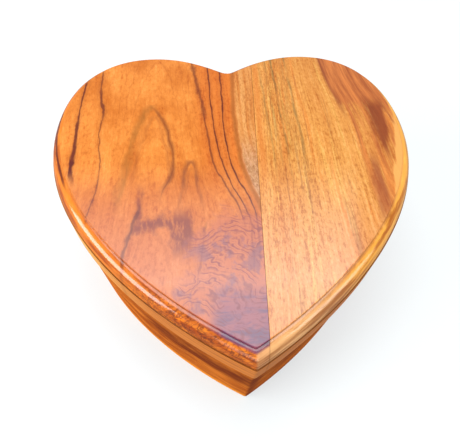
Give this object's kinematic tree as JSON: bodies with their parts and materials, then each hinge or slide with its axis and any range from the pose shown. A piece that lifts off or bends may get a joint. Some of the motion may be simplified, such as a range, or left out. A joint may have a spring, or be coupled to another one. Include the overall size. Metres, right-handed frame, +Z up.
{
  "type": "wind up music box",
  "caption": "Heart-shaped lacquered wooden box with a two-board hinged lid, felt-lined pockets and a wind-up comb movement under a clear pane; the key is in a recess underneath.",
  "frame": {"origin": "middle of the whole box's footprint, on the surface it stands on", "axes": "+Z up, heart's tip towards -Y, hinges towards +Y, +X to the right seen from the tip"},
  "size_m": [0.13, 0.133, 0.053],
  "materials": {
    "lid_wood_left": "clear gloss lacquer over orange-brown figured hardwood",
    "lid_wood_right": "clear gloss lacquer over golden-brown hardwood",
    "case_wood": "clear gloss lacquer over red-brown hardwood",
    "partition_wood": "thin satin-finished hardwood",
    "felt": "dense wine-red felt",
    "clear_acrylic": "clear polished acrylic sheet",
    "brass": "plain polished brass",
    "steel": "bright steel",
    "cast_zinc": "die-cast grey metal",
    "spring_steel": "hardened blued steel",
    "nylon": "off-white moulded nylon"
  },
  "bodies": {
    "case": {"case_wall": "case_wood", "bottom_panel": "case_wood", "divider": "partition_wood", "chamber_wall_rear": "partition_wood", "chamber_wall_left": "partition_wood", "chamber_wall_right": "partition_wood", "felt_front": "felt", "felt_left": "felt", "felt_right": "felt", "chamber_pane": "clear_acrylic", "hinge_left_case_leaf": "brass", "hinge_left_pin": "brass", "hinge_right_case_leaf": "brass", "hinge_right_pin": "brass", "hinge_left_case_screw_1": "brass", "hinge_left_case_screw_2": "brass", "hinge_right_case_screw_1": "brass", "hinge_right_case_screw_2": "brass", "panel_screw_1": "steel", "panel_screw_2": "steel", "panel_screw_3": "steel", "panel_screw_4": "steel", "movement_screw_1": "steel", "movement_screw_2": "steel", "movement_screw_3": "steel", "comb_screw_1": "steel", "comb_screw_2": "steel", "stop_lever_pin": "steel", "bedplate": "cast_zinc", "spring_housing": "cast_zinc", "cylinder_bracket_left": "cast_zinc", "cylinder_bracket_right": "cast_zinc", "comb": "spring_steel", "mainspring": "spring_steel", "governor_frame": "nylon"},
    "lid": {"lid_board_left": "lid_wood_left", "lid_board_right": "lid_wood_right", "lid_felt": "felt", "hinge_left_lid_leaf": "brass", "hinge_right_lid_leaf": "brass", "hinge_left_lid_screw_1": "brass", "hinge_left_lid_screw_2": "brass", "hinge_right_lid_screw_1": "brass", "hinge_right_lid_screw_2": "brass"},
    "drive_wheel": {"drive_wheel": "brass", "click_screw": "steel"},
    "winding": {"winding_arbor": "steel", "wind_key": "steel", "ratchet_wheel": "steel", "arbor_nut": "brass"},
    "click": {"click": "steel"},
    "cylinder": {"music_cylinder": "brass", "cylinder_arbor": "steel", "cylinder_pinion": "brass", "cylinder_gear": "nylon"},
    "governor": {"governor_wheel": "brass"},
    "fly": {"worm_arbor": "steel", "fan": "nylon"},
    "stop_lever": {"stop_lever": "brass"}
  },
  "joints": [
    {"name": "lid_hinge", "type": "hinge", "parent": "case", "child": "lid", "pos_m": [0, 0.06482, 0.0393], "axis": [-1, 0, 0], "range_deg": [0, 100]},
    {"name": "cylinder_spin", "type": "hinge", "parent": "case", "child": "cylinder", "pos_m": [0.01, 0.01963, 0.0245], "axis": [1, 0, 0], "continuous": true},
    {"name": "drive_wheel_spin", "type": "hinge", "parent": "case", "child": "drive_wheel", "pos_m": [-0.012, 0.01963, 0.029], "axis": [0, 0, 1], "continuous": true},
    {"name": "governor_spin", "type": "hinge", "parent": "case", "child": "governor", "pos_m": [0.021, 0.02863, 0.0245], "axis": [1, 0, 0], "continuous": true},
    {"name": "fly_spin", "type": "hinge", "parent": "case", "child": "fly", "pos_m": [0.022, 0.03442, 0.025], "axis": [0, 0, 1], "continuous": true},
    {"name": "key_winding", "type": "hinge", "parent": "drive_wheel", "child": "winding", "pos_m": [-0.012, 0.01963, 0.015], "axis": [0, 0, 1], "continuous": true},
    {"name": "click_lift", "type": "hinge", "parent": "drive_wheel", "child": "click", "pos_m": [-0.0094, 0.02703, 0.031], "axis": [0, 0, -1], "range_deg": [0, 12], "stiffness_Nm_per_rad": 0.002},
    {"name": "stop_lever_lift", "type": "hinge", "parent": "case", "child": "stop_lever", "pos_m": [0.0231, 0.01963, 0.0325], "axis": [1, 0, 0], "range_deg": [0, 4], "stiffness_Nm_per_rad": 0.000036, "springref_deg": 60.73}
  ],
  "couplings": [
    {"joint": "drive_wheel_spin", "follows": "cylinder_spin", "ratio": -0.33333},
    {"joint": "governor_spin", "follows": "cylinder_spin", "ratio": -4},
    {"joint": "fly_spin", "follows": "cylinder_spin", "ratio": 96},
    {"joint": "stop_lever_lift", "follows": "lid_hinge", "ratio": 0.04}
  ]
}
